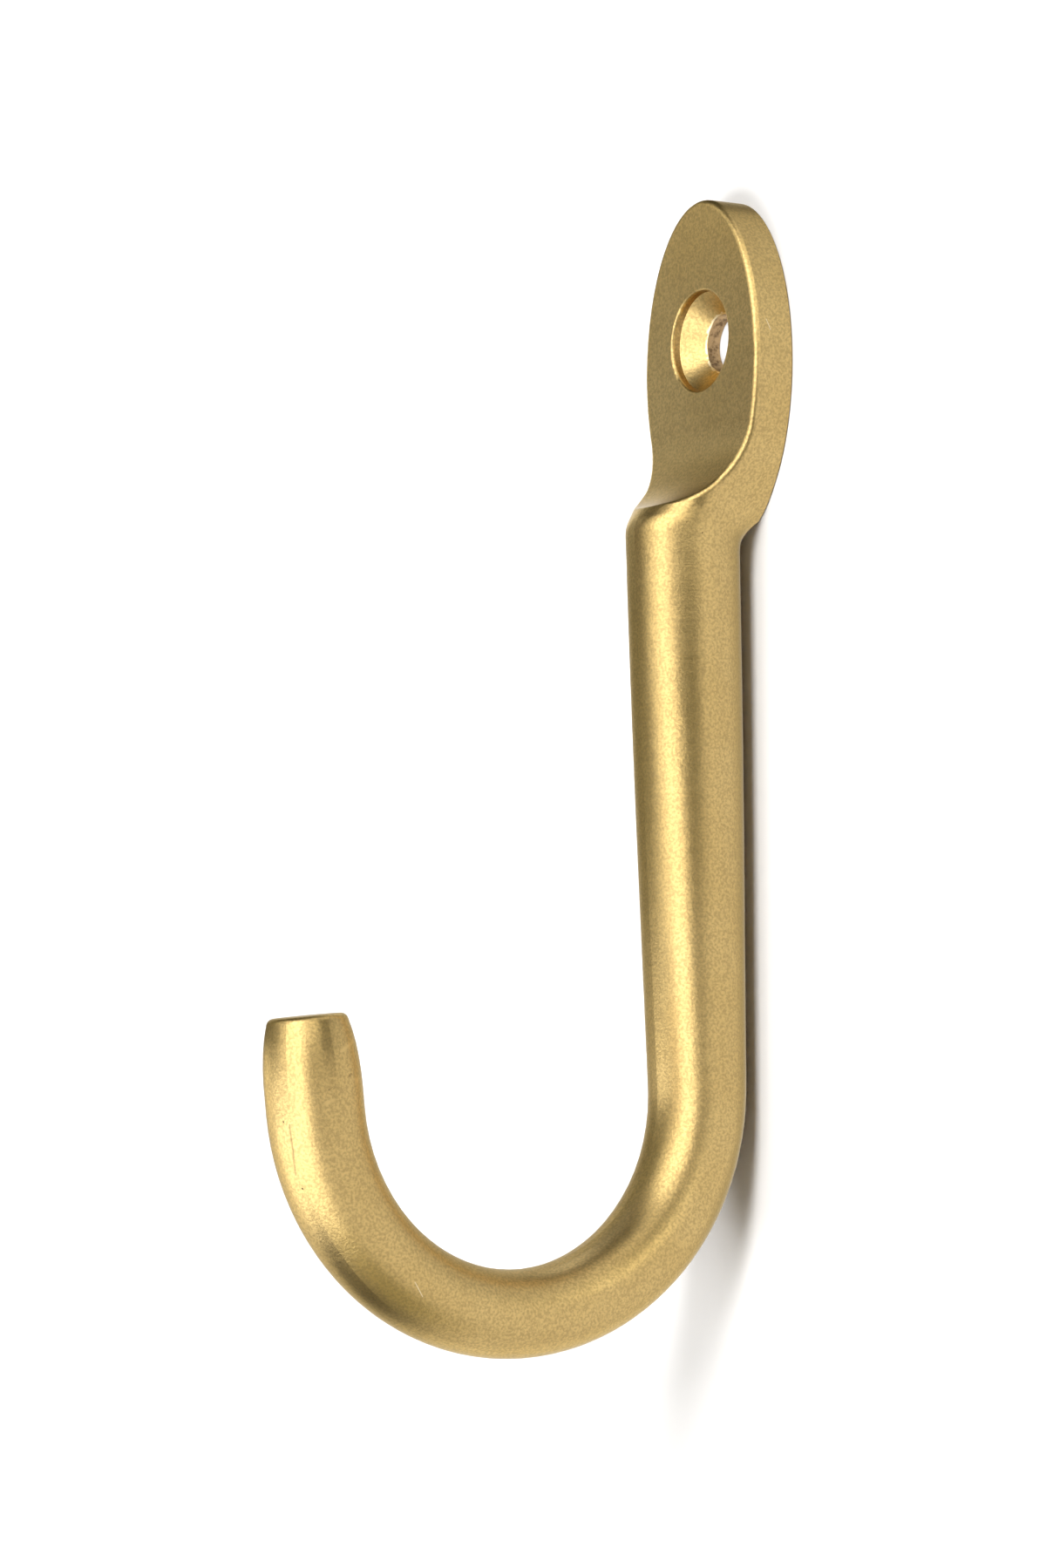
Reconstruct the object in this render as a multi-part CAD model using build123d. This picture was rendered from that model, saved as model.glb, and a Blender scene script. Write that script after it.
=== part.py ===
from build123d import *
import os
from math import atan2, cos, pi, radians, sin, sqrt, tan

# One-piece brass coat hook: an oval plate with one countersunk screw hole, which steps
# forward through a cove into a round bar, and the bar bends up into a J with a blunt tip.
# Sizes are in millimetres and angles in degrees. The wall is the plane y = 0, the room is
# towards -Y, +Z is up, and the origin is where the screw hole's axis meets the wall.

# Oval plate that lies on the wall
plate_width = 16.95
plate_height = 28.2
plate_thickness = 3.65
hole_to_plate_top = 11.9
front_edge_radius = 0.45
back_edge_radius = 0.15

# Screw hole: a bore, a cone for the screw's head, a short straight wall and a rounded rim
bore_diameter = 4.8
head_diameter = 8.4
head_wall_depth = 0.8
cone_angle = 96.0
rim_radius = 0.3

# Shoulder above the plate's lower end, which rolls back towards the cove over it, and the neck
# that widens into the plate
shoulder_rise = 1.5
shoulder_slope = 18.0
roll_height = 1.9
roll_depth = 0.8
cove_radius = 7.0
cove_tilt = 1.0
neck_rise = 4.3
neck_length = 6.1

# Bar, round at the shoulder and at the tip and squeezed a little flat in the bend
bar_diameter = 9.5
tip_diameter = 8.1
bend_thickness = 7.2
thinnest_angle = 62.0
squeeze_reach = 60.0
gap_at_shoulder = 0.76
gap_at_bend = 0.5
shank_length = 47.45
bend_radius = 18.0
bend_angle = 175.4
tail_length = 7.65

# Tip: the sides draw in towards a flat end
tip_taper_length = 7.5
tip_face_diameter = 6.4
tip_edge_radius = 0.6

# How finely the sections follow the shape, and how far cutting tools reach past it
neck_spacing = 1.0
tip_spacing = 1.0
bar_spacing = 2.0
cut_margin = 2.0
touch = 1e-5

# Heights of the plate's lower end and middle, of the shoulder, the neck and the bend
plate_foot = hole_to_plate_top - plate_height
plate_middle = hole_to_plate_top - plate_height / 2
shoulder = plate_foot + shoulder_rise
neck_top = plate_foot + neck_rise
neck_foot = neck_top - neck_length
bend_start = shoulder - shank_length

# Distances along the bar's axis, counted from the shoulder
bend_length = bend_radius * radians(bend_angle)
bar_length = shank_length + bend_length + tail_length
thinnest_place = shank_length + bend_radius * radians(thinnest_angle)


def round_radius(along):
    """Radius of the bar before it is squeezed, which tapers evenly to the tip."""
    return bar_diameter / 2 - (bar_diameter - tip_diameter) / 2 * along / bar_length


squeeze = round_radius(thinnest_place) - bend_thickness / 2


def half_thickness(along):
    """Half of the bar's thickness in the plane of the bend."""
    share = min(1, abs(along - thinnest_place) / squeeze_reach)
    return round_radius(along) - squeeze * cos(share * pi / 2) ** 2


# Depths of the bar's axis, which leave the bar's back clear of the wall
shoulder_depth = gap_at_shoulder + half_thickness(0)
bend_depth = gap_at_bend + half_thickness(shank_length)
lean = atan2(shoulder_depth - bend_depth, shank_length)
down = Vector(0, sin(lean), -cos(lean))
inward = Vector(0, -cos(lean), -sin(lean))
bend_centre = Vector(0, -bend_depth, bend_start) + inward * bend_radius


def bar_axis(along):
    """Point of the bar's axis, and the direction there to the inside of the J."""
    if along <= shank_length:
        share = along / shank_length
        depth = shoulder_depth + (bend_depth - shoulder_depth) * share
        return Vector(0, -depth, shoulder - along), Vector(0, -1, 0)
    turn = min((along - shank_length) / bend_radius, radians(bend_angle))
    inside = inward * cos(turn) - down * sin(turn)
    forward = inward * sin(turn) + down * cos(turn)
    straight = max(0, along - shank_length - bend_length)
    return bend_centre - inside * bend_radius + forward * straight, inside


def plate_half_width(height):
    """Half of the oval's width at a height."""
    return plate_width / 2 * sqrt(1 - ((height - plate_middle) / (plate_height / 2)) ** 2)


def section(place, inside, half_width, half_depth, squareness=0.0, wall_reach=0.0, roll=0.0):
    """Closed outline, round on the inside of the J, where roll takes some of its depth.

    Squareness draws the two outer corners from a round back (0) to straight sides (1) that
    reach wall_reach past the section's middle.
    """
    quarter = 4 / 3 * tan(pi / 8)
    sixth = 4 / 3 * tan(pi / 12)
    corner_angle = radians(60)
    round_corner = (half_width * cos(corner_angle), -half_depth * sin(corner_angle))
    round_pull = (sixth * half_width * sin(corner_angle), sixth * half_depth * cos(corner_angle))

    def between(round_value, square_value):
        return round_value + (square_value - round_value) * squareness

    corner = (between(round_corner[0], half_width), between(round_corner[1], -wall_reach))
    side_start = (half_width, between(-sixth * half_depth, -wall_reach / 3))
    side_end = (
        between(round_corner[0] + round_pull[0], half_width),
        between(round_corner[1] + round_pull[1], -wall_reach * 2 / 3),
    )
    back = (
        between(round_corner[0] - round_pull[0], half_width / 3),
        between(round_corner[1] - round_pull[1], -wall_reach),
    )
    front_depth = half_depth - roll
    front = [
        (0, front_depth),
        (quarter * half_width, front_depth),
        (half_width, quarter * front_depth),
        (half_width, 0),
    ]
    side = [(half_width, 0), side_start, side_end, corner]
    curves = [front, side, [corner, back, mirrored(back), mirrored(corner)]]
    curves += [[mirrored(point) for point in reversed(curve)] for curve in (side, front)]
    edges = [
        Edge.make_bezier(*[place + Vector(x, 0, 0) + inside * depth for x, depth in curve])
        for curve in curves
    ]
    return Wire(edges)


def mirrored(point):
    """Same point on the other side of the plane x = 0."""
    return (-point[0], point[1])


def plate_section(height, half_width, squareness):
    """Level section of the plate and neck, before the front and back are cut."""
    along = shoulder - height
    place, _ = bar_axis(along)
    depth = half_thickness(along)
    wall_reach = cut_margin - place.Y
    return section(place, Vector(0, -1, 0), half_width, depth, squareness, wall_reach, front_roll(height))


def front_roll(height):
    """How far the front has rolled back at a height, from below the shoulder to above it."""
    share = (height - shoulder + roll_height) / (2 * roll_height)
    return 2 * roll_depth * ease(min(1, max(0, share)))


def neck_half_width(share):
    """Half of the neck's width, easing from the bar (0) into the oval's edge (1)."""
    top_width = plate_half_width(neck_top)
    fall = (neck_top - plate_middle) / top_width
    top_slope = -fall * (plate_width / plate_height) ** 2
    bar_width = round_radius(shoulder - neck_foot)
    run_in = top_slope * neck_length * share**3 * (1 - share) * (3 * share - 4)
    return bar_width + (top_width - bar_width) * ease(share) + run_in


def ease(share):
    """Smooth step from 0 to 1, level and without curvature at both ends."""
    return share**3 * (10 - 15 * share + 6 * share**2)


def evenly(first, last, spacing):
    """Places from first to last, at about the given spacing."""
    count = max(2, round(abs(last - first) / spacing))
    return [first + (last - first) * step / count for step in range(count + 1)]


def bar_section(along):
    """Section of the bar at a distance from the shoulder, drawn in towards the tip."""
    place, inside = bar_axis(along)
    share = max(0, 1 - (bar_length - along) / tip_taper_length)
    loss = (tip_diameter - tip_face_diameter) / 2 * share**3
    return section(place, inside, round_radius(along) - loss, half_thickness(along) - loss)


def neck_section(height):
    """Level section from the plate's middle down to the bar."""
    if height >= neck_top:
        return plate_section(height, plate_half_width(height), 1.0)
    share = max(0, (height - neck_foot) / neck_length)
    return plate_section(height, neck_half_width(share), ease(share))


def make_blank():
    """Bar, neck and lower half of the plate, with the plate still as deep as the bar."""
    heights = evenly(plate_middle, neck_foot, neck_spacing)
    neck = Solid.make_loft([neck_section(height) for height in heights])
    places = evenly(shoulder - neck_foot, bar_length - tip_taper_length, bar_spacing)
    bar = Solid.make_loft([bar_section(along) for along in places])
    return neck + bar + make_tip()


def make_tip():
    """End of the bar, which draws in to a flat face with a rounded edge."""
    places = evenly(bar_length - tip_taper_length, bar_length, tip_spacing)
    tip = Solid.make_loft([bar_section(along) for along in places])
    end, _ = bar_axis(bar_length)
    end_face = min(tip.faces(), key=lambda face: face.distance_to(end))
    return fillet(end_face.edges(), tip_edge_radius)


def make_plate_top():
    """Upper half of the oval, deep enough to be cut with the rest."""
    oval = Pos(0, plate_middle) * Ellipse(plate_width / 2, plate_height / 2)
    upper = Pos(0, plate_middle + plate_height / 2) * Rectangle(plate_width, plate_height)
    outline = Plane.XZ * (oval & upper)
    return extrude(outline, plate_thickness + cut_margin / 2) + extrude(outline, -cut_margin)


def make_front_tool():
    """Space in front of the plate's face and above the shoulder."""
    sweep = radians(90 - shoulder_slope)
    bar_front = shoulder_depth + half_thickness(0)
    cove_depth = cove_radius * (1 - cos(sweep))
    step_depth = bar_front - plate_thickness - cove_depth
    cove_top = shoulder + cove_radius * sin(sweep) + step_depth / tan(sweep)
    face = -plate_thickness
    ceiling = hole_to_plate_top + cut_margin
    middle = sweep / 2
    cove_middle = (face - cove_radius * (1 - cos(middle)), cove_top - cove_radius * sin(middle))
    cove_end = (face - cove_depth, cove_top - cove_radius * sin(sweep))
    far_end = (cove_end[0] - bar_diameter * sin(sweep), cove_end[1] - bar_diameter * cos(sweep))
    edges = [
        Line((face, ceiling), (face, cove_top)),
        ThreePointArc((face, cove_top), cove_middle, cove_end),
        Line(cove_end, far_end),
        Line(far_end, (far_end[0], ceiling)),
        Line((far_end[0], ceiling), (face, ceiling)),
    ]
    profile = Plane.YZ * make_face(edges)
    tool = extrude(profile, plate_width + bar_diameter, both=True)
    return tool.rotate(Axis((0, 0, shoulder), (0, 1, 0)), cove_tilt)


def make_wall_tool():
    """Space behind the wall's plane."""
    size = plate_height + shank_length + bend_radius + bar_diameter
    return Pos(0, size / 2, 0) * Box(2 * size, size, 4 * size)


def make_hole_tool():
    """Screw hole with its cone, straight wall and rounded rim, about the Y axis."""
    bore = bore_diameter / 2
    head = head_diameter / 2
    face = -plate_thickness
    cone_top = face + head_wall_depth
    cone_foot = cone_top + (head - bore) / tan(radians(cone_angle / 2))
    rim = head + rim_radius
    bulge = rim_radius * cos(pi / 4)
    edges = [
        Line((0, cut_margin), (bore, cut_margin)),
        Line((bore, cut_margin), (bore, cone_foot)),
        Line((bore, cone_foot), (head, cone_top)),
        Line((head, cone_top), (head, face + rim_radius)),
        ThreePointArc((head, face + rim_radius), (rim - bulge, face + rim_radius - bulge), (rim, face)),
        Line((rim, face), (rim, face - cut_margin)),
        Line((rim, face - cut_margin), (0, face - cut_margin)),
        Line((0, face - cut_margin), (0, cut_margin)),
    ]
    return revolve(make_face(edges), Axis.Y)


def faces_on(body, tool):
    """Faces that a cutting tool left on the body."""
    return [face for face in body.faces() if tool.distance_to(face.position_at(0.5, 0.5)) < touch]


def border(faces):
    """Edges around a group of faces that meet each other."""
    edges = [edge for face in faces for edge in face.outer_wire().edges()]
    return [edge for edge in edges if sum(edge.is_same(other) for other in edges) == 1]


def make_hook():
    """Whole hook as one solid."""
    front_tool = make_front_tool()
    wall_tool = make_wall_tool()
    body = make_blank() + make_plate_top() - front_tool - wall_tool
    body = fillet(border(faces_on(body, front_tool)), front_edge_radius)
    body = fillet(border(faces_on(body, wall_tool)), back_edge_radius)
    return body - make_hole_tool()


hook = make_hook()
hook.label = "coat_hook"
os.makedirs("parts", exist_ok=True)
export_step(hook, "parts/coat_hook.step")
print("coat_hook", "valid", hook.is_valid, "volume", round(hook.volume, 1), "faces", len(hook.faces()))
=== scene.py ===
"""Dresses the coat hook in satin brass and sets it in a plain studio, seen from the photograph's angle."""

import logging
import math
from dataclasses import dataclass
from enum import Enum
from typing import Any

import bpy
from mathutils import Matrix, Vector


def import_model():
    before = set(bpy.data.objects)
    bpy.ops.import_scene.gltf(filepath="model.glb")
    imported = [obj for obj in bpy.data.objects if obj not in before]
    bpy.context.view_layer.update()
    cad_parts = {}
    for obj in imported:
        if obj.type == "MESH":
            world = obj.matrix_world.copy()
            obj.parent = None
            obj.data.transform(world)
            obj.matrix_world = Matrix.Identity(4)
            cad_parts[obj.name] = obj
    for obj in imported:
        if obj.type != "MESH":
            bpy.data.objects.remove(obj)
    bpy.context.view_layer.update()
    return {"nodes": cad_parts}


Span = tuple[float, float]
Point = tuple[float, float, float]
Shade = tuple[float, float, float]
Colour = tuple[float, float, float, float]

MM = 0.001
NODE_NAME = "coat_hook"
LOG = logging.getLogger("coat_hook")
NOISE_MIDDLE = 0.5
HALF_BOUNCE = 0.5
CARD_SPACING = 0.001
STUDIO_REACH = 0.6
LEFT_NEAR = 0.085
RIGHT_NEAR = 0.075
NEAR_BLACK: Shade = (0.04, 0.04, 0.01)
SOFT_WHITE: Shade = (3.1, 3.1, 3.1)


class Ray(Enum):
    """Kinds of ray that can meet a studio piece, each named by the switch that lets it."""

    CAMERA = "visible_camera"
    DIFFUSE = "visible_diffuse"
    GLOSSY = "visible_glossy"
    TRANSMISSION = "visible_transmission"
    SCATTER = "visible_volume_scatter"
    SHADOW = "visible_shadow"


class MarkKind(Enum):
    """Kinds of wear found on the brass."""

    PIT = "pit"
    BRIGHT_SCRATCH = "bright scratch"
    DARK_SCRATCH = "dark scratch"
    SCUFF = "scuff"


@dataclass(frozen=True)
class Noise:
    """Cloudy noise: the size of its largest spots in metres, its finer layers and their strength."""

    size: float
    detail: float = 2.0
    roughness: float = 0.5


@dataclass
class NodeBoard:
    """Adds nodes to one node tree and joins them."""

    tree: bpy.types.NodeTree

    def fill(self, socket: bpy.types.NodeSocket, value: Any) -> None:
        """Links an output to a socket, or sets the socket's own value.

        Args:
            socket: The socket to fill.
            value: The output to link, or the plain value to set.
        """
        if isinstance(value, bpy.types.NodeSocket):
            self.tree.links.new(value, socket)
        else:
            socket.default_value = value

    def add(self, kind: str, inputs: dict[Any, Any] | None = None, **options: Any) -> bpy.types.Node:
        """Adds one node.

        Args:
            kind: The node's type name.
            inputs: Values or outputs for its sockets, by name or by place.
            options: The node's own settings.

        Returns:
            The new node.
        """
        node = self.tree.nodes.new(kind)
        for name, value in options.items():
            setattr(node, name, value)
        for name, value in (inputs or {}).items():
            self.fill(node.inputs[name], value)
        return node

    def maths(self, operation: str, *values: Any) -> bpy.types.NodeSocket:
        """Adds a sum on numbers and returns its result."""
        return self.add("ShaderNodeMath", dict(enumerate(values)), operation=operation).outputs[0]

    def vector(self, operation: str, *values: Any) -> bpy.types.NodeSocket:
        """Adds a sum on vectors and returns its vector."""
        node = self.add("ShaderNodeVectorMath", dict(enumerate(values)), operation=operation)
        return node.outputs["Vector"]

    def measure(self, operation: str, *values: Any) -> bpy.types.NodeSocket:
        """Adds a sum on vectors and returns its number."""
        node = self.add("ShaderNodeVectorMath", dict(enumerate(values)), operation=operation)
        return node.outputs["Value"]

    def axes(self, value: Any) -> Any:
        """Splits a vector and returns its three numbers, by the names X, Y and Z."""
        return self.add("ShaderNodeSeparateXYZ", {0: value}).outputs

    def step(self, value: Any, start: float, stop: float, low: float = 0.0,
             high: float = 1.0) -> bpy.types.NodeSocket:
        """Adds a soft step between two values.

        Args:
            value: The output to read.
            start: The value at which the step begins.
            stop: The value at which it ends, above or below the start.
            low: The result before the step.
            high: The result after it.

        Returns:
            The step's result.
        """
        rising = stop > start
        inputs = {
            "Value": value,
            "From Min": start if rising else stop,
            "From Max": stop if rising else start,
            "To Min": low if rising else high,
            "To Max": high if rising else low,
        }
        return self.add("ShaderNodeMapRange", inputs, interpolation_type="SMOOTHSTEP").outputs["Result"]

    def blend(self, share: Any, first: Any, second: Any) -> bpy.types.NodeSocket:
        """Adds a mix of two colours.

        Args:
            share: How much of the second colour shows, from zero to one.
            first: The first colour.
            second: The second colour.

        Returns:
            The mixed colour.
        """
        inputs = {"Factor_Float": share, "A_Color": first, "B_Color": second}
        node = self.add("ShaderNodeMix", data_type="RGBA")
        for socket in node.inputs:
            if socket.identifier in inputs:
                self.fill(socket, inputs[socket.identifier])
        return next(socket for socket in node.outputs if socket.identifier == "Result_Color")

    def noise(self, place: Any, noise: Noise) -> bpy.types.NodeSocket:
        """Adds cloudy noise.

        Args:
            place: The output that gives the place.
            noise: The noise's sizes.

        Returns:
            A number near one half that wanders from place to place.
        """
        inputs = {
            "Vector": place,
            "Scale": 1.0 / noise.size,
            "Detail": noise.detail,
            "Roughness": noise.roughness,
        }
        return self.add("ShaderNodeTexNoise", inputs).outputs[0]

    def cover(self, share: Any, under: bpy.types.Node, over: bpy.types.Node) -> bpy.types.Node:
        """Adds a mix of two shaders, in which the share is the second one's, and returns it."""
        return self.add("ShaderNodeMixShader", {0: share, 1: under.outputs[0], 2: over.outputs[0]})

    def surface(self, shader: bpy.types.Node) -> None:
        """Makes a shader the surface of the material."""
        self.add("ShaderNodeOutputMaterial", {"Surface": shader.outputs[0]})


def blank_material(name: str) -> tuple[bpy.types.Material, NodeBoard]:
    """Makes a material with no nodes.

    Args:
        name: The material's name.

    Returns:
        The material and the board on which its nodes go.
    """
    material = bpy.data.materials.new(name)
    material.use_nodes = True
    material.node_tree.nodes.clear()
    return material, NodeBoard(material.node_tree)


def put_in_scene(name: str, data: bpy.types.ID) -> bpy.types.Object:
    """Makes an object of a mesh, lamp or camera and puts it in the scene.

    Args:
        name: The object's name.
        data: The mesh, lamp or camera.

    Returns:
        The object.
    """
    piece = bpy.data.objects.new(name, data)
    bpy.context.scene.collection.objects.link(piece)
    return piece


def grey(level: float) -> Colour:
    """Gives a solid grey, from black at zero to white at one."""
    return (level, level, level, 1.0)


@dataclass(frozen=True)
class HookShape:
    """The sizes of the hook that its finish follows."""

    bend_middle_y: float = -22.39 * MM
    bend_middle_z: float = -62.67 * MM
    bend_radius: float = 18.0 * MM
    bore_radius: float = 2.4 * MM
    bore_depth: float = 1.23 * MM


@dataclass(frozen=True)
class Mark:
    """One mark of wear, from one point of the brass to another, in millimetres."""

    kind: MarkKind
    start: Point
    stop: Point
    width: float


@dataclass(frozen=True)
class Wear:
    """The marks of wear on the brass, each full in its core and fading to its width."""

    marks: tuple[Mark, ...]
    core: float = 0.35

    def share(self, board: NodeBoard, place: Any, kind: MarkKind) -> Any:
        """Adds up the marks of one kind.

        Args:
            board: The board of the material.
            place: The output that gives the place on the hook.
            kind: The kind of mark.

        Returns:
            One inside a mark of that kind and zero away from it.
        """
        total: Any = 0.0
        for mark in self.marks:
            if mark.kind is kind:
                total = board.maths("MAXIMUM", total, self.stroke(board, place, mark))
        return total

    def stroke(self, board: NodeBoard, place: Any, mark: Mark) -> bpy.types.NodeSocket:
        """Adds one mark as a stroke with soft edges.

        Args:
            board: The board of the material.
            place: The output that gives the place on the hook.
            mark: The mark.

        Returns:
            One on the stroke's middle line and zero past its width.
        """
        start = Vector(mark.start) * MM
        run = Vector(mark.stop) * MM - start
        width = mark.width * MM
        offset = board.vector("SUBTRACT", place, tuple(start))
        share: Any = 0.0
        if run.length > 0.0:
            reach = board.measure("DOT_PRODUCT", offset, tuple(run / run.length_squared))
            share = board.maths("MINIMUM", board.maths("MAXIMUM", reach, 0.0), 1.0)
        inputs = {0: tuple(run), "Scale": share}
        nearest = board.add("ShaderNodeVectorMath", inputs, operation="SCALE").outputs["Vector"]
        distance = board.measure("DISTANCE", offset, nearest)
        return board.step(distance, width, width * self.core)


@dataclass(frozen=True)
class BareBore:
    """Bare metal in the screw hole: the bore's stained wall, and the broken edge where the cone meets it."""

    shape: HookShape
    raw_tone: Colour = (0.50, 0.33, 0.16, 1.0)
    stain_tone: Colour = (0.16, 0.09, 0.035, 1.0)
    stain_noise: Noise = Noise(0.7 * MM, 4.0, 0.65)
    stain_span: Span = (0.42, 0.66)
    extra_roughness: float = 0.12
    wall_margins: Span = (0.06 * MM, 0.01 * MM)
    front_noise: Noise = Noise(0.6 * MM)
    front_wander: float = 0.3 * MM
    front_margin: float = 0.06 * MM
    front_fade: float = 0.1 * MM
    chip_noise: Noise = Noise(0.5 * MM, 2.0, 0.6)
    chip_wander: float = 0.5 * MM
    chip_margins: Span = (0.16 * MM, 0.08 * MM)

    def radius(self, board: NodeBoard, place: Any) -> bpy.types.NodeSocket:
        """Adds the distance from the screw hole's axis and returns it."""
        return board.measure("LENGTH", board.vector("MULTIPLY", place, (1.0, 0.0, 1.0)))

    def within(self, board: NodeBoard, radius: Any, margins: Span) -> bpy.types.NodeSocket:
        """Marks what lies inside the bore's radius, widened by a margin that fades to another."""
        outer, inner = (self.shape.bore_radius + margin for margin in margins)
        return board.step(radius, outer, inner)

    def wall(self, board: NodeBoard, place: Any) -> bpy.types.NodeSocket:
        """Marks the bare wall of the bore, with a ragged front edge.

        Args:
            board: The board of the material.
            place: The output that gives the place on the hook.

        Returns:
            One on the bore's wall and zero elsewhere.
        """
        inside = self.within(board, self.radius(board, place), self.wall_margins)
        wander = board.noise(place, self.front_noise)
        ragged = board.maths("MULTIPLY_ADD", wander, self.front_wander, board.axes(place)["Y"])
        front = self.front_margin - self.shape.bore_depth
        return board.maths("MULTIPLY", inside, board.step(ragged, front, front + self.front_fade))

    def chips(self, board: NodeBoard, place: Any) -> bpy.types.NodeSocket:
        """Marks the bright broken edge where the screw hole's cone meets its bore.

        Args:
            board: The board of the material.
            place: The output that gives the place on the hook.

        Returns:
            One on the bare edge and zero elsewhere.
        """
        wander = board.maths("SUBTRACT", board.noise(place, self.chip_noise), NOISE_MIDDLE)
        radius = board.maths("MULTIPLY_ADD", wander, self.chip_wander, self.radius(board, place))
        return self.within(board, radius, self.chip_margins)

    def colour(self, board: NodeBoard, place: Any) -> bpy.types.NodeSocket:
        """Mixes raw metal and stains and returns the colour."""
        stains = board.step(board.noise(place, self.stain_noise), *self.stain_span)
        return board.blend(stains, self.raw_tone, self.stain_tone)


@dataclass(frozen=True)
class SatinBrass:
    """Brass with a fine even grain under a thin matt lacquer, worn a little as in the photograph, and with
    painted shade on its side close to the wall.
    """

    shape: HookShape
    wear: Wear
    bore: BareBore
    tone: Colour = (0.62, 0.425, 0.15, 1.0)
    pale_tone: Colour = (0.665, 0.465, 0.175, 1.0)
    # Dark tone for the grain's specks, and for the painted shade on the side close to the wall.
    speck_and_shade_tone: Colour = (0.33, 0.225, 0.08, 1.0)
    pit_tone: Colour = (0.10, 0.065, 0.025, 1.0)
    scratch_tone: Colour = (0.82, 0.68, 0.42, 1.0)
    edge_tint: Colour = (0.62, 0.55, 0.36, 1.0)
    roughness: float = 0.36
    roughness_spread: float = 0.10
    roughness_span: Span = (0.6, 1.4)
    coat_weight: float = 0.5
    coat_roughness: float = 0.42
    cloud_noise: Noise = Noise(6.0 * MM, 3.0)
    cloud_span: Span = (0.3, 0.7)
    grain_noise: Noise = Noise(0.22 * MM, 3.0, 0.55)
    grain_height: float = 0.020 * MM
    speck_span: Span = (0.34, 0.66)
    speck_strength: float = 0.58
    line_noise: Noise = Noise(0.11 * MM, 2.0, 0.6)
    line_length: float = 3.0 * MM
    line_height: float = 0.0024 * MM
    # Painted shade: where the brass faces the wall and lies close to it, it is darkened to stand in for the
    # wall's contact shadow.
    wall_facing: Span = (0.2, 0.8)
    wall_depth: Span = (-9.0 * MM, -5.0 * MM)
    wall_shade_strength: float = 0.9
    dark_scratch_strength: float = 0.35
    dent_depth: float = 0.03 * MM

    def make(self) -> bpy.types.Material:
        """Builds the material.

        Returns:
            The finished material.
        """
        material, board = blank_material("satin_brass_finish")
        coordinates = board.add("ShaderNodeTexCoord")
        place = coordinates.outputs["Object"]
        facing = coordinates.outputs["Normal"]
        lines = self.brush_lines(board, place)
        grain = board.noise(place, self.grain_noise)
        shader = board.add("ShaderNodeBsdfPrincipled")
        board.fill(shader.inputs["Base Color"], self.colour(board, place, facing, grain))
        board.fill(shader.inputs["Roughness"], self.gloss(board, place, lines, grain))
        board.fill(shader.inputs["Normal"], self.relief(board, place, lines, grain))
        shader.inputs["Metallic"].default_value = 1.0
        shader.inputs["Specular Tint"].default_value = self.edge_tint
        shader.inputs["Coat Weight"].default_value = self.coat_weight
        shader.inputs["Coat Roughness"].default_value = self.coat_roughness
        board.surface(shader)
        return material

    def brush_lines(self, board: NodeBoard, place: Any) -> bpy.types.NodeSocket:
        """Adds fine brush lines that run round the bar, all the way along shank, bend and tip.

        Args:
            board: The board of the material.
            place: The output that gives the place on the hook.

        Returns:
            A number that changes quickly along the bar and slowly round it.
        """
        axes = board.axes(place)
        side = board.maths("SUBTRACT", axes["Y"], self.shape.bend_middle_y)
        height = board.maths("SUBTRACT", axes["Z"], self.shape.bend_middle_z)
        drop = board.maths("MAXIMUM", board.maths("MULTIPLY", height, -1.0), 0.0)
        rise = board.maths("MAXIMUM", height, 0.0)
        turn = board.maths("ARCTAN2", drop, side)
        on_tip = board.maths("LESS_THAN", side, 0.0)
        way = board.maths("MULTIPLY_ADD", on_tip, 2.0, -1.0)
        straight = board.maths("MULTIPLY", rise, way)
        along = board.maths("MULTIPLY_ADD", turn, self.shape.bend_radius, straight)
        sides = board.maths("MULTIPLY", side, side)
        drops = board.maths("MULTIPLY", drop, drop)
        reach = board.maths("SQRT", board.maths("ADD", sides, drops))
        unrolled = board.add("ShaderNodeCombineXYZ", {0: axes["X"], 1: reach, 2: along}).outputs[0]
        stretch = self.line_noise.size / self.line_length
        squeezed = board.vector("MULTIPLY", unrolled, (stretch, stretch, 1.0))
        return board.noise(squeezed, self.line_noise)

    def painted_wall_shade(self, board: NodeBoard, place: Any, facing: Any) -> bpy.types.NodeSocket:
        """Marks the side that faces the wall, where it lies close to the wall, for painted shade that stands
        in for the wall's dark contact shadow seen in the brass.

        Args:
            board: The board of the material.
            place: The output that gives the place on the hook.
            facing: The output that gives the way the surface faces.

        Returns:
            How strongly the painted shade darkens the brass there, and zero elsewhere.
        """
        turned = board.step(board.axes(facing)["Y"], *self.wall_facing, high=self.wall_shade_strength)
        close = board.step(board.axes(place)["Y"], *self.wall_depth)
        return board.maths("MULTIPLY", turned, close)

    def colour(self, board: NodeBoard, place: Any, facing: Any, grain: Any) -> bpy.types.NodeSocket:
        """Mixes the brass's colour.

        Args:
            board: The board of the material.
            place: The output that gives the place on the hook.
            facing: The output that gives the way the surface faces.
            grain: The fine grain.

        Returns:
            The colour.
        """
        clouds = board.step(board.noise(place, self.cloud_noise), *self.cloud_span)
        specks = board.step(grain, *self.speck_span, high=self.speck_strength)
        scuffs = self.wear.share(board, place, MarkKind.SCUFF)
        bright_scratches = self.wear.share(board, place, MarkKind.BRIGHT_SCRATCH)
        dark_scratches = self.wear.share(board, place, MarkKind.DARK_SCRATCH)
        pits = self.wear.share(board, place, MarkKind.PIT)
        faint = board.maths("MULTIPLY", dark_scratches, self.dark_scratch_strength)
        colour = board.blend(clouds, self.tone, self.pale_tone)
        colour = board.blend(specks, colour, self.speck_and_shade_tone)
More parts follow.
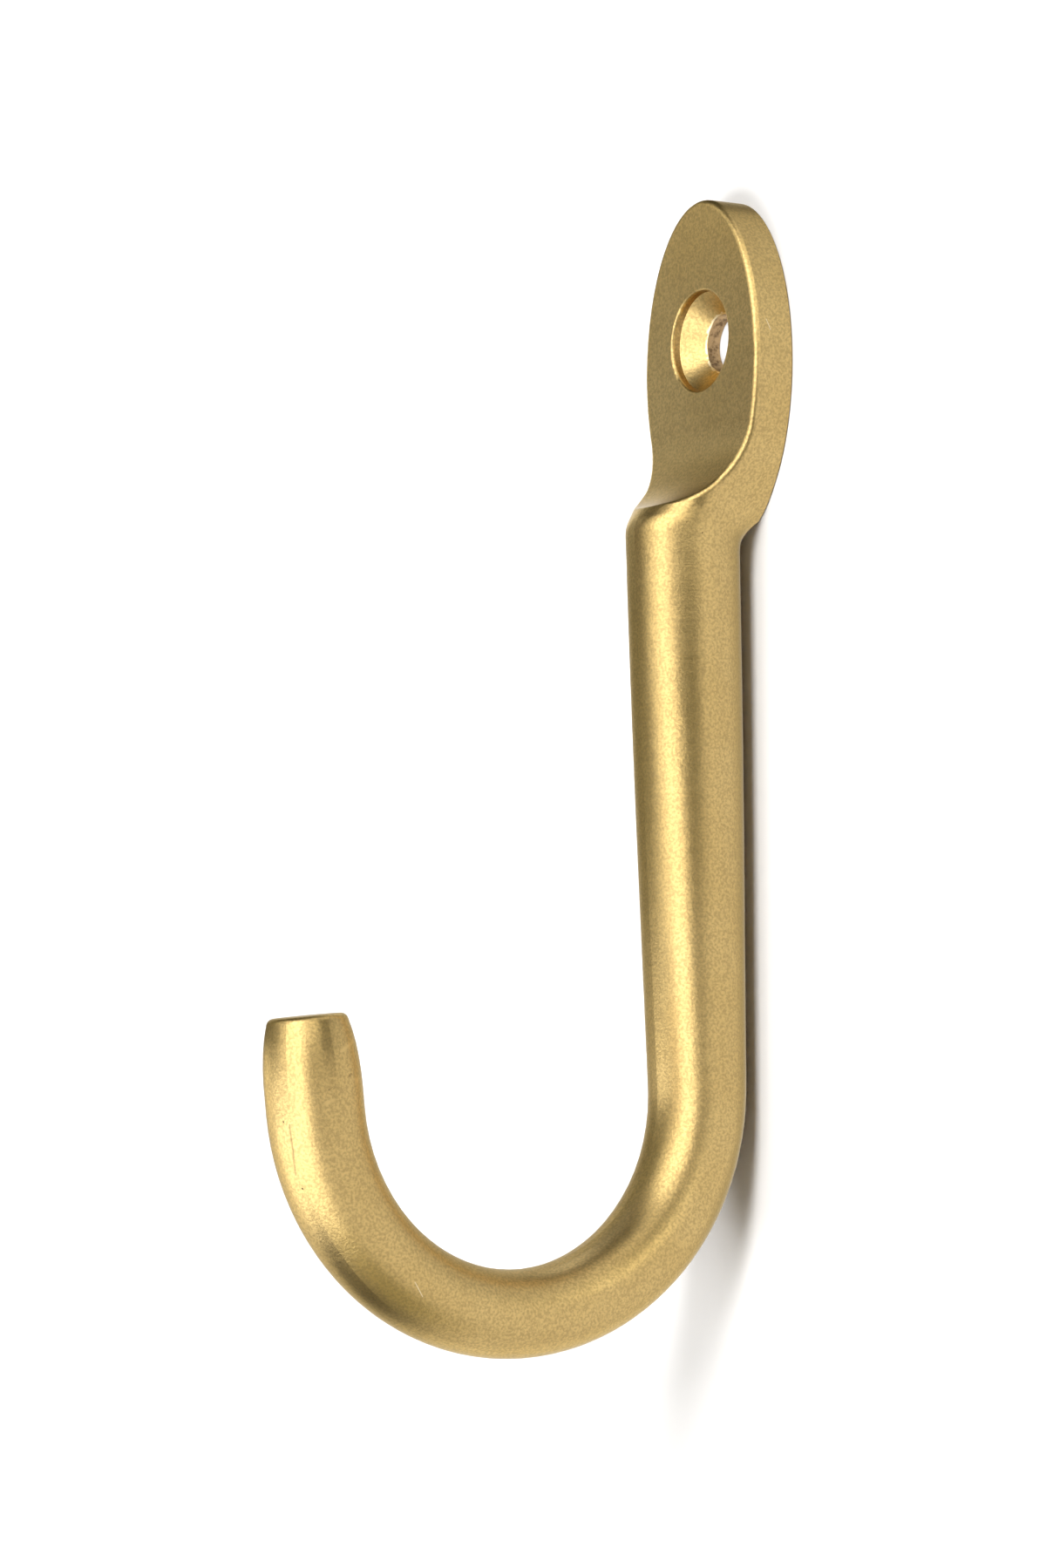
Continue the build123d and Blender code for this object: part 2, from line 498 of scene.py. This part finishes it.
        # Painted shade on the wall-facing side near the wall, standing in for the dark contact shadow it
        # would reflect.
        colour = board.blend(self.painted_wall_shade(board, place, facing), colour, self.speck_and_shade_tone)
        colour = board.blend(self.bore.chips(board, place), colour, self.scratch_tone)
        colour = board.blend(self.bore.wall(board, place), colour, self.bore.colour(board, place))
        colour = board.blend(scuffs, colour, self.pale_tone)
        colour = board.blend(bright_scratches, colour, self.scratch_tone)
        return board.blend(board.maths("MAXIMUM", pits, faint), colour, self.pit_tone)

    def gloss(self, board: NodeBoard, place: Any, lines: Any, grain: Any) -> bpy.types.NodeSocket:
        """Sets how rough the brass is from place to place.

        Args:
            board: The board of the material.
            place: The output that gives the place on the hook.
            lines: The brush lines.
            grain: The fine grain.

        Returns:
            The roughness.
        """
        half_spread = self.roughness_spread / 2.0
        smoothest = self.roughness - half_spread
        roughest = self.roughness + half_spread
        mixed = board.maths("ADD", lines, grain)
        rough = board.step(mixed, *self.roughness_span, low=smoothest, high=roughest)
        bare = board.maths("MULTIPLY", self.bore.wall(board, place), self.bore.extra_roughness)
        return board.maths("ADD", rough, bare)

    def relief(self, board: NodeBoard, place: Any, lines: Any, grain: Any) -> bpy.types.NodeSocket:
        """Sets the fine relief of grain, brush lines, pits and scratches.

        Args:
            board: The board of the material.
            place: The output that gives the place on the hook.
            lines: The brush lines.
            grain: The fine grain.

        Returns:
            The bent normal.
        """
        pits = self.wear.share(board, place, MarkKind.PIT)
        scratches = self.wear.share(board, place, MarkKind.DARK_SCRATCH)
        dents = board.maths("MAXIMUM", pits, scratches)
        height = board.maths("MULTIPLY", grain, self.grain_height)
        height = board.maths("MULTIPLY_ADD", lines, self.line_height, height)
        height = board.maths("MULTIPLY_ADD", dents, -self.dent_depth, height)
        inputs = {"Strength": 1.0, "Distance": 1.0, "Height": height}
        return board.add("ShaderNodeBump", inputs).outputs[0]


@dataclass(frozen=True)
class Hook:
    """The hook itself, kept as it was built and dressed in its finish."""

    finish: SatinBrass

    def dress(self, piece: bpy.types.Object) -> None:
        """Gives the hook its finish in every slot of its material.

        Args:
            piece: The hook's object.
        """
        material = self.finish.make()
        for slot in piece.material_slots:
            slot.material = material


@dataclass(frozen=True)
class Studio:
    """The place round which lamps and cards are set, and the way they are set."""

    middle: Point = (0.0, -0.022, -0.035)

    def direction(self, azimuth: float, elevation: float) -> Vector:
        """Gives a direction from the hook.

        Args:
            azimuth: Degrees from straight out of the wall towards the right.
            elevation: Degrees upwards.

        Returns:
            The direction, one long.
        """
        turn = math.radians(azimuth)
        lift = math.radians(elevation)
        return Vector((math.sin(turn) * math.cos(lift), -math.cos(turn) * math.cos(lift), math.sin(lift)))

    def show_only(self, piece: bpy.types.Object, *rays: Ray) -> None:
        """Lets only the given kinds of ray meet a piece."""
        for ray in Ray:
            setattr(piece, ray.value, ray in rays)


@dataclass(frozen=True)
class Lamp:
    """A flat soft lamp that lights wall and floor and leaves the brass alone."""

    name: str
    azimuth: float
    elevation: float
    width: float
    height: float
    level: float
    distance: float = STUDIO_REACH

    def build(self, studio: Studio) -> None:
        """Hangs the lamp.

        Args:
            studio: The studio it hangs in.
        """
        lamp = bpy.data.lights.new(self.name, "AREA")
        lamp.shape = "RECTANGLE"
        lamp.size = self.width
        lamp.size_y = self.height
        lamp.energy = self.level * math.pi * self.width * self.height
        piece = put_in_scene(self.name, lamp)
        way = studio.direction(self.azimuth, self.elevation)
        turn = way.to_track_quat("Z", "Y").to_matrix().to_4x4()
        piece.matrix_world = Matrix.Translation(Vector(studio.middle) + way * self.distance) @ turn
        studio.show_only(piece, Ray.DIFFUSE)


@dataclass(frozen=True)
class Card:
    """A grey card or glowing screen curved round the hook, seen only in the brass."""

    name: str
    azimuths: Span
    elevations: Span
    shade: Shade
    distance: float = STUDIO_REACH
    pieces: int = 16

    def build(self, studio: Studio, forward: float) -> None:
        """Hangs the card.

        Args:
            studio: The studio it hangs in.
            forward: How far it hangs in front of its own distance, to clear the cards behind it.
        """
        corners = []
        faces = []
        columns = self.pieces + 1
        for row in range(columns):
            elevation = self.between(self.elevations, row)
            for column in range(columns):
                way = studio.direction(self.between(self.azimuths, column), elevation)
                corners.append(tuple(Vector(studio.middle) + way * (self.distance - forward)))
        for row in range(self.pieces):
            for column in range(self.pieces):
                first = row * columns + column
                faces.append((first, first + 1, first + columns + 1, first + columns))
        mesh = bpy.data.meshes.new(self.name)
        mesh.from_pydata(corners, [], faces)
        mesh.materials.append(self.paint())
        piece = put_in_scene(self.name, mesh)
        studio.show_only(piece, Ray.GLOSSY)

    def between(self, ends: Span, place: int) -> float:
        """Gives the angle at one place between two ends."""
        return ends[0] + (ends[1] - ends[0]) * place / self.pieces

    def paint(self) -> bpy.types.Material:
        """Makes the card's even shade, which is dark to light that has met the wall first.

        Returns:
            The card's material.
        """
        material, board = blank_material(self.name)
        bounces = board.add("ShaderNodeLightPath").outputs["Diffuse Depth"]
        shader = board.add("ShaderNodeEmission", {"Color": (*self.shade, 1.0)})
        board.fill(shader.inputs["Strength"], board.maths("LESS_THAN", bounces, HALF_BOUNCE))
        board.surface(shader)
        material.cycles.emission_sampling = "NONE"
        return material


@dataclass(frozen=True)
class Surround:
    """The pale wall behind the hook, the floor below it and the even light of the room."""

    wall_gap: float = 0.05 * MM
    wall_reach: float = 2.0
    floor_drop: float = -0.25
    wall_white: float = 0.95
    lit_reach: float = 0.12
    glow_reach: float = 0.30
    floor_white: float = 0.8
    floor_glow: float = 0.7
    room_white: Colour = (1.0, 1.0, 1.0, 1.0)
    room_fill: Colour = (0.08, 0.062, 0.035, 1.0)

    def build(self, studio: Studio) -> None:
        """Builds wall, floor and room light.

        Args:
            studio: The studio they belong to.
        """
        reach = self.wall_reach
        top = reach + self.floor_drop
        wall = self.sheet("wall", [
            (-reach, self.wall_gap, self.floor_drop),
            (reach, self.wall_gap, self.floor_drop),
            (reach, self.wall_gap, top),
            (-reach, self.wall_gap, top),
        ], self.wall_paint())
        studio.show_only(wall, Ray.CAMERA, Ray.GLOSSY, Ray.SHADOW)
        floor = self.sheet("floor", [
            (-reach, -reach, self.floor_drop),
            (reach, -reach, self.floor_drop),
            (reach, reach, self.floor_drop),
            (-reach, reach, self.floor_drop),
        ], self.floor_paint())
        studio.show_only(floor, Ray.CAMERA, Ray.DIFFUSE)
        self.light_room()

    def sheet(self, name: str, corners: list[Point], material: bpy.types.Material) -> bpy.types.Object:
        """Builds a flat sheet as part of the studio.

        Args:
            name: Its name.
            corners: Its four corners.
            material: Its material.

        Returns:
            The sheet.
        """
        mesh = bpy.data.meshes.new(name)
        mesh.from_pydata(corners, [], [(0, 1, 2, 3)])
        mesh.materials.append(material)
        piece = put_in_scene(name, mesh)
        return piece

    def wall_paint(self) -> bpy.types.Material:
        """Makes the wall's white paint, clear from behind and white far from the lamps.

        Returns:
            The wall's material.
        """
        material, board = blank_material("wall_paint")
        rays = board.add("ShaderNodeLightPath").outputs
        place = board.add("ShaderNodeTexCoord").outputs["Object"]
        behind = board.add("ShaderNodeNewGeometry").outputs["Backfacing"]
        paint = board.add("ShaderNodeBsdfDiffuse", {"Color": grey(self.wall_white)})
        glow = board.add("ShaderNodeEmission")
        clear = board.add("ShaderNodeBsdfTransparent")
        far = board.step(board.measure("LENGTH", place), self.lit_reach, self.glow_reach)
        front = board.cover(board.maths("MULTIPLY", far, rays["Is Camera Ray"]), paint, glow)
        bounced = board.maths("GREATER_THAN", rays["Diffuse Depth"], HALF_BOUNCE)
        solid = board.maths("MAXIMUM", rays["Is Camera Ray"], bounced)
        open_share = board.maths("MAXIMUM", behind, board.maths("SUBTRACT", 1.0, solid))
        board.surface(board.cover(open_share, front, clear))
        return material

    def floor_paint(self) -> bpy.types.Material:
        """Makes the floor's pale matt paint, which stays pale far from the lamps.

        Returns:
            The floor's material.
        """
        material, board = blank_material("floor_paint")
        paint = board.add("ShaderNodeBsdfDiffuse", {"Color": grey(self.floor_white)})
        glow = board.add("ShaderNodeEmission")
        seen = board.add("ShaderNodeLightPath").outputs["Is Camera Ray"]
        board.surface(board.cover(board.maths("MULTIPLY", seen, self.floor_glow), paint, glow))
        return material

    def light_room(self) -> None:
        """Fills the room with even white light, weaker on matt paint than in reflections."""
        world = bpy.data.worlds.new("room")
        world.use_nodes = True
        world.node_tree.nodes.clear()
        board = NodeBoard(world.node_tree)
        rays = board.add("ShaderNodeLightPath").outputs
        straight = board.maths("LESS_THAN", rays["Diffuse Depth"], HALF_BOUNCE)
        mirrored = board.maths("MULTIPLY", rays["Is Glossy Ray"], straight)
        seen = board.maths("MAXIMUM", rays["Is Camera Ray"], mirrored)
        seen = board.maths("MAXIMUM", seen, rays["Is Transmission Ray"])
        colour = board.blend(seen, self.room_fill, self.room_white)
        room = board.add("ShaderNodeBackground", {"Color": colour, "Strength": 1.0})
        board.add("ShaderNodeOutputWorld", {"Surface": room.outputs[0]})
        world.cycles.sampling_method = "NONE"
        bpy.context.scene.world = world


@dataclass(frozen=True)
class PhotoView:
    """The camera that looks at the hook as the photograph does."""

    azimuth: float = 58.73996
    elevation: float = -4.49644
    roll: float = -0.23468
    distance: float = 0.4
    shift_right: float = -0.01786814
    shift_up: float = -0.03698713
    focal_pixels: float = 5455.37
    image_height: float = 1799.0
    sensor: float = 36.0
    nearest: float = 0.01

    def build(self, studio: Studio) -> None:
        """Sets up the camera.

        Args:
            studio: The studio it looks at.
        """
        back = studio.direction(self.azimuth, self.elevation)
        level = Vector((0.0, 0.0, 1.0)).cross(back).normalized()
        tilt = Matrix.Rotation(math.radians(self.roll), 3, back)
        right = tilt @ level
        up = back.cross(right)
        place = right * self.shift_right + up * self.shift_up + back * self.distance
        data = bpy.data.cameras.new("photo_view")
        data.sensor_width = self.sensor
        data.lens = self.focal_pixels / self.image_height * self.sensor
        data.clip_start = self.nearest
        camera = put_in_scene("photo_view", data)
        turn = Matrix((right, up, back)).transposed().to_4x4()
        camera.matrix_world = Matrix.Translation(place) @ turn
        bpy.context.scene.camera = camera
        bpy.context.scene.view_settings.view_transform = "Standard"


def pit_at(place: Point, width: float) -> Mark:
    """Gives a pit, which is a mark that starts and stops at one point."""
    return Mark(MarkKind.PIT, place, place, width)


MARKS = (
    pit_at((4.63, -6.5, -16.9), 0.09),
    pit_at((1.66, -42.37, -70.5), 0.11),
    pit_at((1.29, -43.87, -65.27), 0.10),
    pit_at((-7.34, -3.65, -4.83), 0.08),
    Mark(MarkKind.BRIGHT_SCRATCH, (8.3, -2.5, 0.65), (8.39, -2.13, -0.2), 0.05),
    Mark(MarkKind.BRIGHT_SCRATCH, (4.07, -33.65, -77.84), (3.88, -32.84, -79.01), 0.045),
    Mark(MarkKind.DARK_SCRATCH, (1.83, -43.62, -65.54), (1.77, -43.28, -67.51), 0.08),
    Mark(MarkKind.DARK_SCRATCH, (1.77, -43.28, -67.51), (1.43, -42.87, -69.41), 0.08),
    Mark(MarkKind.DARK_SCRATCH, (4.0, -41.25, -62.78), (3.77, -39.1, -61.55), 0.12),
    Mark(MarkKind.SCUFF, (3.93, -41.44, -63.87), (3.33, -38.31, -61.95), 0.25),
    Mark(MarkKind.SCUFF, (3.89, -40.1, -59.79), (2.84, -38.42, -58.93), 0.22),
)

WALL_LAMPS = (
    Lamp("wall_right_lamp", azimuth=31.5, elevation=27.0, width=0.16, height=0.55, level=13.6),
    Lamp("wall_low_lamp", azimuth=-5.0, elevation=-24.0, width=0.50, height=0.34, level=5.3),
)

CARDS = (
    Card("back_high_card", (112.0, 225.0), (16.0, 85.0), shade=(0.75, 0.76, 0.76)),
    Card("back_low_card", (118.0, 180.0), (-40.0, -8.0), shade=(1.07, 1.07, 1.07)),
    Card("back_left_card", (-160.0, -105.0), (-62.0, -1.0), shade=(1.43, 1.45, 1.5)),
    Card("pale_card", (46.0, 118.0), (18.0, 62.0), shade=(1.75, 1.75, 1.63)),
    Card("left_low_card", (-90.0, -47.0), (-29.0, -6.0), shade=(1.3, 1.3, 1.3)),
    Card("front_softbox", (-53.0, 36.0), (-50.0, -8.0), shade=(3.0, 3.05, 3.15)),
    Card("lower_right_card", (-5.0, 100.0), (-86.0, -46.0), shade=(0.36, 0.35, 0.19)),
    Card("lower_left_card", (-93.0, -13.0), (-88.0, -40.0), shade=(0.03, 0.03, 0.01)),
    Card("upper_card", (-150.0, 28.0), (39.0, 89.0), shade=NEAR_BLACK),
    Card("gap_card", (-46.0, 10.0), (-8.0, 3.0), shade=(0.2, 0.2, 0.15)),
    Card("front_card", (-34.0, 2.0), (12.0, 47.0), shade=(1.45, 1.48, 1.41)),
    Card("left_card", (-92.0, -20.0), (-6.0, 38.0), shade=(0.30, 0.30, 0.25)),
    Card("half_left_card", (-58.0, -30.0), (12.0, 36.0), shade=(1.15, 1.15, 1.08)),
    Card("soft_screen", (-20.0, 2.0), (0.0, 12.0), shade=(1.8, 1.8, 1.75)),
    Card("middle_softbox", (0.0, 10.0), (-1.0, 50.0), shade=SOFT_WHITE),
    Card("right_softbox", (10.0, 40.0), (-9.0, 49.0), shade=SOFT_WHITE),
    Card("high_softbox", (-7.0, 40.0), (24.0, 50.0), shade=(3.6, 3.6, 3.6)),
    Card("right_high_softbox", (36.0, 54.0), (30.0, 50.0), shade=(2.9, 2.9, 2.9)),
    Card("viewer_card", (42.0, 72.0), (-8.0, 10.0), shade=(0.13, 0.13, 0.08)),
    Card("near_left_card", (-74.0, -30.0), (-9.0, 20.0), (0.25, 0.25, 0.18), LEFT_NEAR),
    Card("near_low_card", (-84.0, -47.0), (-19.0, -9.0), (0.10, 0.10, 0.05), LEFT_NEAR),
    Card("near_gap_card", (-47.0, -12.0), (-19.0, -8.0), (0.15, 0.15, 0.10), LEFT_NEAR),
    Card("near_tip_card", (-62.0, -42.0), (-32.0, -21.0), (2.0, 2.0, 2.0), LEFT_NEAR),
    Card("cove_card", (-138.0, -102.0), (26.0, 46.0), (2.0, 2.1, 2.45), LEFT_NEAR),
    Card("plate_pale_card", (-84.0, -72.0), (22.0, 54.0), (0.92, 1.0, 1.15), LEFT_NEAR),
    Card("plate_dark_card", (-72.0, -42.0), (19.0, 60.0), (0.04, 0.02, 0.0), LEFT_NEAR),
    Card("near_high_card", (33.0, 106.0), (13.0, 30.0), NEAR_BLACK, RIGHT_NEAR),
    Card("near_right_card", (62.0, 104.0), (-8.0, 13.0), (0.17, 0.17, 0.10), RIGHT_NEAR),
    Card("near_right_low_card", (56.0, 89.0), (-24.0, -8.0), NEAR_BLACK, RIGHT_NEAR),
)


def main() -> None:
    """Builds the hook's finish, the studio and the camera."""
    logging.basicConfig(level=logging.INFO, format="%(message)s")
    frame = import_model()
    studio = Studio()
    shape = HookShape()
    hook = Hook(SatinBrass(shape, Wear(MARKS), BareBore(shape)))
    hook.dress(frame["nodes"][NODE_NAME])
    LOG.info("dressed %s", NODE_NAME)
    for lamp in WALL_LAMPS:
        lamp.build(studio)
        LOG.info("hung lamp %s", lamp.name)
    for order, card in enumerate(CARDS):
        card.build(studio, CARD_SPACING * order)
        LOG.info("hung card %s", card.name)
    Surround().build(studio)
    LOG.info("built wall, floor and room light")
    PhotoView().build(studio)
    LOG.info("set the camera")


if __name__ == "__main__":
    main()
